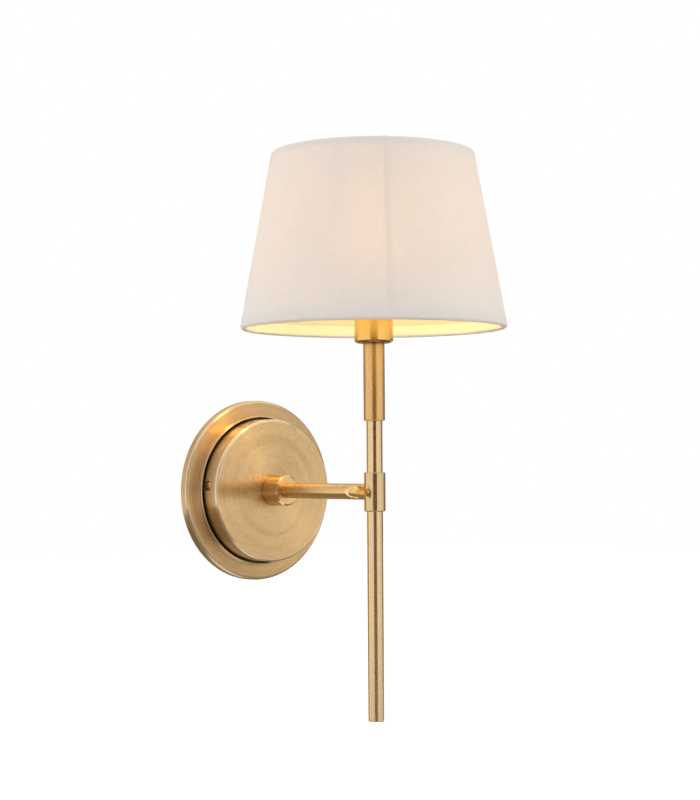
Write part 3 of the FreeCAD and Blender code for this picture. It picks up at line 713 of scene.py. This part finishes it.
# Drum: painted shade on its side down in the groove, and rubbed brass with a painted highlight
# on the rounded front edge.
DRUM_BRASS = BrushedBrass("drum_brass", "brushed_brass", colour=(0.84, 0.575, 0.295),
                          stroke_colour=(0.55, 0.345, 0.14), roughness=0.31, band=4.5 * MM,
                          lacquer=0.25, painted_shade=(Zone(0.0, -1.0, 13.0 * MM, 8.0 * MM),),
                          wear_and_highlight=(Zone(1.0, -1.0, 80.2 * MM, 81.0 * MM),))
ROD_BRASS = BrushedBrass("rod_brass", "brushed_brass", spin=Spin.ROD, strokes_round=1.2,
                         anisotropy=0.82, roughness=0.25, uneven=0.0,
                         stroke_depth=0.0, stroke=1.1 * MM, colour=(0.83, 0.60, 0.34),
                         stroke_share=0.12, cloud_share=0.05, band_share=0.06)
# Arm and boss: painted shade at the boss's foot, where it stands on the drum.
ARM_BRASS = replace(ROD_BRASS, name="arm_brass", spin=Spin.ARM, colour=(0.89, 0.585, 0.26),
                    stroke_colour=(0.64, 0.41, 0.17), anisotropy=0.75, roughness=0.27,
                    stroke_share=0.15, painted_shade=(Zone(0.0, -1.0, BOSS_FOOT + 0.9 * MM,
                                                   BOSS_FOOT + 0.3 * MM),))
# Sleeve: brass tinted warmer orange as painted warm light from the bulb's glow, and a painted
# shadow just under the cup.
SLEEVE_BRASS_PAINTED_WARM_LIGHT = replace(ROD_BRASS, name="sleeve_brass_painted_warm_light", colour=(0.85, 0.53, 0.23),
                       anisotropy=0.85, roughness=0.36, painted_shade_colour=(0.16, 0.08, 0.03),
                       painted_shade=(Zone(0.0, 1.0, CUP_FOOT - 1.6 * MM, CUP_FOOT),))
# Cup: brass tinted saturated orange as painted warm light from the lit inside of the shade,
# and painted shade along its rounded bottom rim.
CUP_BRASS_PAINTED_WARM_LIGHT = replace(ROD_BRASS, name="cup_brass_painted_warm_light", colour=(0.95, 0.605, 0.20),
                    strokes_round=1.0, anisotropy=0.70, painted_shade_colour=(0.30, 0.15, 0.05),
                    painted_shade=(Zone(0.0, 1.0, CUP_FOOT + 2.4 * MM, CUP_FOOT + 0.6 * MM),))
COLLAR_BRASS = replace(ROD_BRASS, name="collar_brass", colour=(0.76, 0.55, 0.31),
                       strokes_round=1.0, anisotropy=0.75, stroke_share=0.15)
THUMB_BRASS = PolishedMetal("thumb_brass", "polished_brass", colour=(0.95, 0.68, 0.32),
                            wear_and_highlight_colour=(0.80, 0.52, 0.20), roughness=0.07)
MACHINED_BRASS = PolishedMetal("machined_brass", "raw_brass", colour=(0.72, 0.53, 0.28),
                               wear_and_highlight_colour=(0.60, 0.42, 0.20), roughness=0.24, grain=1500.0)
BRONZE_PLATE = PolishedMetal("bronze_plate", "screw_bronze", colour=(0.78, 0.46, 0.30),
                             wear_and_highlight_colour=(0.50, 0.27, 0.16), roughness=0.22)
ZINC_STEEL = PlatedSteel("zinc_steel", "zinc_steel")
NICKEL_PLATE = PlatedSteel("nickel_plate", "nickel", colour=(0.66, 0.63, 0.57),
                           other_colour=(0.60, 0.57, 0.52), roughness=0.18, crystal=1500.0)
WHITE_NYLON = Moulding("white_nylon", "white_nylon", colour=(0.76, 0.75, 0.70),
                       speck_colour=(0.68, 0.67, 0.61), roughness=0.42)
BLACK_MOULDING = Moulding("black_moulding", "black_moulding", colour=(0.022, 0.021, 0.020),
                          speck_colour=(0.032, 0.030, 0.028), roughness=0.30, coat=0.2)
CLEAR_SHEATH = Moulding("clear_sheath", "clear_sheath", colour=(0.70, 0.66, 0.55),
                        speck_colour=(0.62, 0.57, 0.45), roughness=0.28, coat=0.3)
STEATITE = Moulding("steatite", "steatite", colour=(0.78, 0.75, 0.67),
                    speck_colour=(0.68, 0.64, 0.56), roughness=0.60, grain=2600.0)
WHITE_WIRE = Moulding("white_wire", "white_wire", colour=(0.78, 0.77, 0.73),
                      speck_colour=(0.72, 0.70, 0.66), roughness=0.38, grain=1100.0,
                      coat=0.25)
BROWN_CORE = CoreInsulation("brown_core", "brown_core", colour=(0.16, 0.06, 0.025),
                            stripe_colour=(0.13, 0.05, 0.02))
BLUE_CORE = CoreInsulation("blue_core", "blue_core", colour=(0.02, 0.10, 0.42),
                           stripe_colour=(0.02, 0.08, 0.34))
EARTH_CORE = CoreInsulation("earth_core", "earth_core", colour=(0.10, 0.36, 0.05),
                            stripe_colour=(0.78, 0.66, 0.05))
SHADE_CLOTH = ShadeCloth("shade_cloth", "linen")
SHADE_LAMINATE = ShadeLaminate("shade_laminate", "liner")
LIT_GLASS = LitSurface("lit_glass", "frosted_glass")
LIGHT_STICK = LitSurface("light_stick", "light_stick", colour=(0.95, 0.75, 0.35),
                         strength=30.0)


def never_aimed_at(material: bpy.types.Material) -> bpy.types.Material:
    """Keeps a glowing material out of light sampling, and gives it back."""
    material.cycles.emission_sampling = "NONE"
    return material


def dress(node: str, finish: Finish) -> None:
    """Gives a CAD node its finish.

    Args:
        node: Name of the node.
        finish: The finish that it gets.
    """
    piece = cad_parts[node]
    piece.data.materials.clear()
    piece.data.materials.append(finish.material())
    LOG.info("dressed %s in %s", node, finish.name)


# -------------------- sub-assemblies
@dataclass
class Dressed:
    """A sub-assembly whose CAD nodes already have the right shape."""

    finishes: dict[str, Finish]

    def build(self) -> None:
        """Dresses each node of the sub-assembly."""
        for node, finish in self.finishes.items():
            dress(node, finish)


@dataclass
class WallBox(Dressed):
    """The wall plate, the drum on it and the bracket and wiring that the drum covers."""

    finishes: dict[str, Finish] = field(default_factory=lambda: {
        "wall_plate": PLATE_BRASS, "drum_cover": DRUM_BRASS, "cover_screws": BRONZE_PLATE,
        "mounting_bracket": ZINC_STEEL, "bracket_rivets": ZINC_STEEL,
        "terminal_block": WHITE_NYLON, "terminal_poles": MACHINED_BRASS,
        "terminal_clamp_screws": ZINC_STEEL, "terminal_block_screw": ZINC_STEEL,
        "earth_washer": MACHINED_BRASS, "earth_screw": MACHINED_BRASS,
        "live_core": BROWN_CORE, "neutral_core": BLUE_CORE, "earth_core": EARTH_CORE})


@dataclass
class Arm(Dressed):
    """The boss and its fixing, the arm tube and the collar that holds the rod."""

    finishes: dict[str, Finish] = field(default_factory=lambda: {
        "arm_boss": ARM_BRASS, "arm_tube": ARM_BRASS, "stem_collar": COLLAR_BRASS,
        "arm_nipple": ZINC_STEEL, "nipple_washer": ZINC_STEEL, "nipple_nut": ZINC_STEEL,
        "cable_bush": WHITE_NYLON, "arm_flex": CLEAR_SHEATH})


@dataclass
class Thumbscrew(Dressed):
    """The cast head that is turned by hand, its stud and the pad that grips the rod."""

    finishes: dict[str, Finish] = field(default_factory=lambda: {
        "thumbscrew": THUMB_BRASS, "thumbscrew_stud": MACHINED_BRASS,
        "grip_pad": WHITE_NYLON})


@dataclass
class Stem(Dressed):
    """The sliding rod with its end plug, sleeve, threaded tube and flex."""

    finishes: dict[str, Finish] = field(default_factory=lambda: {
        "stem_rod": ROD_BRASS, "rod_end_plug": ROD_BRASS, "stem_sleeve": SLEEVE_BRASS_PAINTED_WARM_LIGHT,
        "sleeve_nipple": ZINC_STEEL, "stem_flex": CLEAR_SHEATH})


@dataclass
class Lampholder(Dressed):
    """The brass cup and the lampholder that stands in it."""

    finishes: dict[str, Finish] = field(default_factory=lambda: {
        "lampholder_cup": CUP_BRASS_PAINTED_WARM_LIGHT, "cup_nut": ZINC_STEEL,
        "lampholder_body": BLACK_MOULDING, "shade_ring_nut": BLACK_MOULDING,
        "contact_base": STEATITE, "lampholder_terminals": MACHINED_BRASS,
        "centre_contact": MACHINED_BRASS, "lampholder_shell": NICKEL_PLATE,
        "lampholder_cores": BROWN_CORE})


@dataclass
class Bulb(Dressed):
    """The lit candle bulb."""

    finishes: dict[str, Finish] = field(default_factory=lambda: {
        "bulb_cap": NICKEL_PLATE, "bulb_envelope": LIT_GLASS,
        "bulb_filaments": LIGHT_STICK})

    def build(self) -> None:
        """Dresses the bulb; its sticks are shut in, so no lamp ray is sent to them."""
        super().build()
        never_aimed_at(LIGHT_STICK.material())


@dataclass
class Shade(Dressed):
    """The tapered shade: wire frame, backing and one piece of linen with a lapped seam."""

    finishes: dict[str, Finish] = field(default_factory=lambda: {
        "shade_carrier": WHITE_WIRE, "shade_bottom_ring": WHITE_WIRE,
        "shade_liner": SHADE_LAMINATE})
    cloth: Finish = SHADE_CLOTH
    cloth_rise: float = 0.80 * MM       # outside of the cloth over the ring wires
    lap_rise: float = 0.32 * MM         # outer layer of the seam over the inner one
    lap_width: float = 2.6 * MM
    lap_lead: float = 2.5 * MM          # where the outer layer climbs on to the inner one
    hem_return: float = 7.0 * MM        # cloth turned in over the lower wire
    head_return: float = 3.4 * MM       # and over the upper one
    hem_rise: float = 0.55 * MM         # turned-in edge, inside the line of the wires
    seam_azimuth: float = -33.7
    columns: int = 240                  # faces of the cloth round the shade,
    rows: int = 44                      # up it between the wires,
    hem_steps: int = 16                 # round each wire,
    lip_steps: int = 4                  # along each turned-in edge,
    lead_steps: int = 8                 # where the outer layer climbs,
    lap_steps: int = 4                  # and across the lap

    def build(self) -> None:
        """Dresses the frame and the backing, and makes the cloth."""
        super().build()
        self.make_cloth()

    def ring_places(self) -> tuple[Vector, Vector, float]:
        """Where the two ring wires run.

        Returns:
            Foot and head as (radius, height) of the wires' middle lines, and the radius
            of the wires.
        """
        low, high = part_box("shade_bottom_ring")
        wire = (high.z - low.z) / 2
        foot = Vector(((high.x - low.x) / 2 - wire, low.z + wire))
        top_low, top_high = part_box("shade_carrier")
        head = Vector((top_high.y - rod_line().y - wire, top_high.z - wire))
        return foot, head, wire

    def hem_outline(self, wire: float, lift: float,
                    turned_in: float) -> list[tuple[float, float]]:
        """One rolled hem, from its turned-in edge round the wire to the outside.

        Args:
            wire: Radius of the ring wire.
            lift: How far this layer stands off the one below.
            turned_in: How far the turned-in edge reaches from the wire's middle.

        Returns:
            Points (along the slant, outward) from the wire's middle.
        """
        round_wire = wire + self.cloth_rise + lift
        reach = math.hypot(turned_in, self.hem_rise)
        leave = math.atan2(self.hem_rise, turned_in) - math.acos(round_wire / reach)
        leave += math.tau
        edge = (turned_in, self.hem_rise)
        start = (round_wire * math.cos(leave), round_wire * math.sin(leave))
        points = []
        for step in range(self.lip_steps):
            share = step / self.lip_steps
            points.append((edge[0] + share * (start[0] - edge[0]),
                           edge[1] + share * (start[1] - edge[1])))
        for step in range(self.hem_steps + 1):
            turn = leave + (math.pi / 2 - leave) * step / self.hem_steps
            points.append((round_wire * math.cos(turn), round_wire * math.sin(turn)))
        return points

    def outline(self, lift: float) -> list[Vector]:
        """The cloth's section, from the lower turned-in edge to the upper one.

        Args:
            lift: How far this layer stands off the one below.

        Returns:
            Points (radius, height).
        """
        foot, head, wire = self.ring_places()
        length = (head - foot).length
        along = (head - foot).normalized()
        out = Vector((along.y, -along.x))
        local = self.hem_outline(wire, lift, self.hem_return)
        local += [(length * row / self.rows, wire + self.cloth_rise + lift)
                  for row in range(1, self.rows)]
        local += [(length - u, v) for u, v in
                  reversed(self.hem_outline(wire, lift, self.head_return))]
        return [foot + along * u + out * v for u, v in local]

    def columns_round(self, radius: float) -> list[tuple[float, float]]:
        """The angles of the cloth's columns and how far each stands off.

        Args:
            radius: Middle radius of the shade.

        Returns:
            Pairs (angle past the seam in radians, lift).
        """
        lap = self.lap_width / radius
        lead = self.lap_lead / radius
        fine = [-lap, -lap / 2]
        fine += [math.tau * i / self.columns for i in range(self.columns)
                 if math.tau * i / self.columns < math.tau - lap - lead]
        fine += [math.tau - lap - lead * (1 - step / self.lead_steps)
                 for step in range(self.lead_steps + 1)]
        fine += [math.tau - lap + lap * step / self.lap_steps
                 for step in range(1, self.lap_steps + 1)]
        result = []
        for angle in fine:
            share = min(max((angle - (math.tau - lap - lead)) / lead, 0.0), 1.0)
            result.append((angle, self.lap_rise * share * share * (3 - 2 * share)))
        return result

    def make_cloth(self) -> None:
        """Makes the linen: one sheet round the rings, hemmed over both and lapped."""
        middle = rod_line()
        flat_line = self.outline(0.0)
        run = [0.0]
        for before, after in zip(flat_line, flat_line[1:]):
            run.append(run[-1] + (after - before).length)
        radius = sum(point.x for point in flat_line) / len(flat_line)
        columns = self.columns_round(radius)
        mesh = bpy.data.meshes.new("shade_cloth")
        shape = bmesh.new()
        grid = []
        for angle, lift in columns:
            turn = math.radians(self.seam_azimuth) + angle
            spoke = Vector((math.sin(turn), -math.cos(turn), 0.0))
            grid.append([shape.verts.new(middle + spoke * point.x + Vector((0, 0, point.y)))
                         for point in self.outline(lift)])
        layer = shape.loops.layers.uv.new("cloth")
        for i in range(len(grid) - 1):
            for j in range(len(flat_line) - 1):
                face = shape.faces.new((grid[i][j], grid[i + 1][j], grid[i + 1][j + 1],
                                        grid[i][j + 1]))
                face.smooth = True
                for loop, (a, b) in zip(face.loops, ((i, j), (i + 1, j), (i + 1, j + 1),
                                                     (i, j + 1))):
                    loop[layer].uv = (columns[a][0] * radius, run[b])
        shape.normal_update()
        area = sum(face.calc_area() for face in shape.faces)
        shape.to_mesh(mesh)
        shape.free()
        piece = bpy.data.objects.new("shade_cloth", mesh)
        bpy.context.scene.collection.objects.link(piece)
        mesh.materials.append(self.cloth.material())
        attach(piece, "stem")
        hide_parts("shade_cover")


# -------------------- studio and camera
@dataclass(frozen=True)
class PlainGlow(Finish):
    """A studio surface of one even brightness."""

    colour: Colour = (0.5, 0.5, 0.5)

    def surface(self, graph: Graph) -> Socket:
        """Builds the even surface, whose shader it returns."""
        return graph.shader("ShaderNodeEmission", Color=self.colour, Strength=1.0)


@dataclass(frozen=True)
class FloorPaint(Finish):
    """The pale floor: about white when it is looked at, and still darker in a shadow."""

    own_level: float = 0.74
    colour: Colour = (0.46, 0.46, 0.46)

    def surface(self, graph: Graph) -> Socket:
        """Builds the floor.

        Args:
            graph: The material's empty graph.

        Returns:
            The shader for the output.
        """
        level = graph.math("MULTIPLY", graph.seen_directly(), self.own_level)
        paint = graph.shader("ShaderNodeBsdfDiffuse", Color=self.colour)
        glow = graph.shader("ShaderNodeEmission", Color=(1.0, 1.0, 1.0), Strength=level)
        both = graph.add("ShaderNodeAddShader")
        graph.feed(both.inputs[0], paint)
        graph.feed(both.inputs[1], glow)
        return both.outputs[0]


@dataclass(frozen=True)
class Softbox:
    """A soft studio lamp that faces the light's middle and doesn't show in the metal."""

    name: str
    azimuth: float
    height: float
    distance: float
    width: float
    tall: float
    power: float
    aim: Point = (0.0, 0.05, 0.05)      # from the rod at the arm's height

    def build(self) -> None:
        """Makes the lamp."""
        target = rod_line() + Vector(self.aim)
        place = target + heading(self.azimuth) * self.distance + Vector((0, 0, self.height))
        lamp = bpy.data.lights.new(self.name, "AREA")
        lamp.shape = "RECTANGLE"
        lamp.size, lamp.size_y, lamp.energy = self.width, self.tall, self.power
        piece = bpy.data.objects.new(self.name, lamp)
        piece.location = place
        piece.rotation_euler = (place - target).to_track_quat("Z", "Y").to_euler()
        piece.visible_glossy = False
        bpy.context.scene.collection.objects.link(piece)
        LOG.info("lamp %s", self.name)


@dataclass(frozen=True)
class Card:
    """A card that only shows in the metal, curved round the light."""

    name: str
    first: float                # azimuths of its two ends
    last: float
    colour: Colour
    radius: float = 2.2
    top_radius: float = 2.2
    low: float = -0.5
    high: float = 1.6
    steps: int = 24

    def build(self) -> None:
        """Makes the card between its two azimuths."""
        mesh = bpy.data.meshes.new(self.name)
        shape = bmesh.new()
        rows = []
        for step in range(self.steps + 1):
            outward = heading(self.first + (self.last - self.first) * step / self.steps)
            foot = rod_line() + outward * self.radius + Vector((0, 0, self.low))
            head = rod_line() + outward * self.top_radius + Vector((0, 0, self.high))
            rows.append((shape.verts.new(foot), shape.verts.new(head)))
        for near, far in zip(rows, rows[1:]):
            shape.faces.new((near[0], far[0], far[1], near[1]))
        shape.to_mesh(mesh)
        shape.free()
        piece = bpy.data.objects.new(self.name, mesh)
        bpy.context.scene.collection.objects.link(piece)
        paint = PlainGlow(self.name + "_paint", "studio", self.colour)
        mesh.materials.append(never_aimed_at(paint.material()))
        piece.visible_camera = piece.visible_diffuse = False
        piece.visible_shadow = piece.visible_transmission = False
        LOG.info("card %s", self.name)


@dataclass
class Studio:
    """Plain studio: an even world, soft lamps, cards for the metal and a pale floor."""

    world_level: float = 0.92
    floor_height: float = -0.55
    floor_half: float = 8.0
    lamps: tuple[Softbox, ...] = (
        Softbox("left_softbox", -115.0, 0.05, 1.9, 0.9, 1.6, 12.5),
        Softbox("right_softbox", 15.0, 0.35, 1.9, 0.9, 1.6, 8.0),
        Softbox("side_softbox", 44.0, 0.15, 2.0, 0.7, 1.6, 2.5))
    cards: tuple[Card, ...] = (
        Card("camera_card", -62.0, -17.0, (0.105, 0.045, 0.006), radius=2.0, top_radius=2.0),
        Card("side_card", 30.0, 66.0, (0.90, 0.88, 0.84)),
        Card("left_card", -225.0, -150.0, (0.36, 0.27, 0.18)),
        Card("right_card", 66.0, 125.0, (0.28, 0.22, 0.16)),
        Card("low_card", -180.0, 180.0, (0.26, 0.23, 0.19), radius=0.2, top_radius=1.6,
             high=-0.5))

    def build(self) -> None:
        """Makes the world, the lamps, the cards and the floor."""
        self.make_world()
        for part in (*self.lamps, *self.cards):
            part.build()
        self.make_floor()

    def make_world(self) -> None:
        """Makes a world that is white to look at and plain grey as a light."""
        world = bpy.data.worlds.new("plain_world")
        bpy.context.scene.world = world
        world.use_nodes = True
        graph = Graph(world.node_tree)
        seen = graph.seen_directly()
        level = graph.math("MULTIPLY_ADD", seen, 1.0 - self.world_level, self.world_level)
        background = graph.shader("ShaderNodeBackground", Color=(1.0, 1.0, 1.0),
                                  Strength=level)
        output = graph.add("ShaderNodeOutputWorld")
        graph.feed(output.inputs["Surface"], background)

    def make_floor(self) -> None:
        """Makes the floor well below the light, because the wall carries the light."""
        mesh = bpy.data.meshes.new("floor")
        half = self.floor_half
        corners = [(-half, -half, 0), (half, -half, 0), (half, half, 0), (-half, half, 0)]
        mesh.from_pydata(corners, [], [(0, 1, 2, 3)])
        floor = bpy.data.objects.new("floor", mesh)
        floor.location.z = self.floor_height
        bpy.context.scene.collection.objects.link(floor)
        paint = FloorPaint("floor_paint", "studio")
        mesh.materials.append(never_aimed_at(paint.material()))
        LOG.info("floor at %.2f m", self.floor_height)


@dataclass(frozen=True)
class PhotoCamera:
    """The camera at the photograph's viewing angle, solved from the photograph's lines."""

    azimuth: float = -40.46
    pitch: float = 1.83         # degrees up
    roll: float = -0.36
    distance: float = 1.346     # level, from the pivot
    aside: float = -0.0194      # to the right of the line through the pivot
    height: float = 0.0256
    pivot_depth: float = 0.150  # of the pivot in front of the wall, near the rod
    focal_px: float = 1806.0    # focal length in the photo's pixels
    frame_px: float = 800.0     # the photo's height
    film: float = 24.0          # sensor height in millimetres

    def build(self) -> None:
        """Makes the camera and hands it to the scene."""
        level_back = heading(self.azimuth)
        right = Vector((math.cos(math.radians(self.azimuth)),
                        math.sin(math.radians(self.azimuth)), 0.0))
        up = Vector((0.0, 0.0, 1.0))
        pitch, roll = math.radians(self.pitch), math.radians(self.roll)
        forward = up * math.sin(pitch) - level_back * math.cos(pitch)
        camera_up = right.cross(forward)
        right_rolled = right * math.cos(roll) + camera_up * math.sin(roll)
        up_rolled = camera_up * math.cos(roll) - right * math.sin(roll)
        place = Vector((0.0, -self.pivot_depth, self.height)) + right * self.aside
        place += level_back * self.distance
        data = bpy.data.cameras.new("photo_camera")
        data.sensor_fit = "VERTICAL"
        data.sensor_height = self.film
        data.lens = self.film * self.focal_px / self.frame_px
        camera = bpy.data.objects.new("photo_camera", data)
        columns = (right_rolled, up_rolled, -forward)
        turn = Matrix([[column[i] for column in columns] for i in range(3)])
        camera.matrix_world = Matrix.Translation(place) @ turn.to_4x4()
        bpy.context.scene.collection.objects.link(camera)
        bpy.context.scene.camera = camera
        LOG.info("camera %.3f m from the rod", self.distance)


def main() -> None:
    """Builds the camera, the studio and every sub-assembly of the light."""
    logging.basicConfig(level=logging.INFO, format="%(name)s: %(message)s")
    bpy.context.scene.view_settings.view_transform = "Standard"
    PhotoCamera().build()
    Studio().build()
    for assembly in (WallBox(), Arm(), Thumbscrew(), Stem(), Lampholder(), Bulb(), Shade()):
        assembly.build()
        LOG.info("built %s", type(assembly).__name__)


if __name__ == "__main__":
    main()
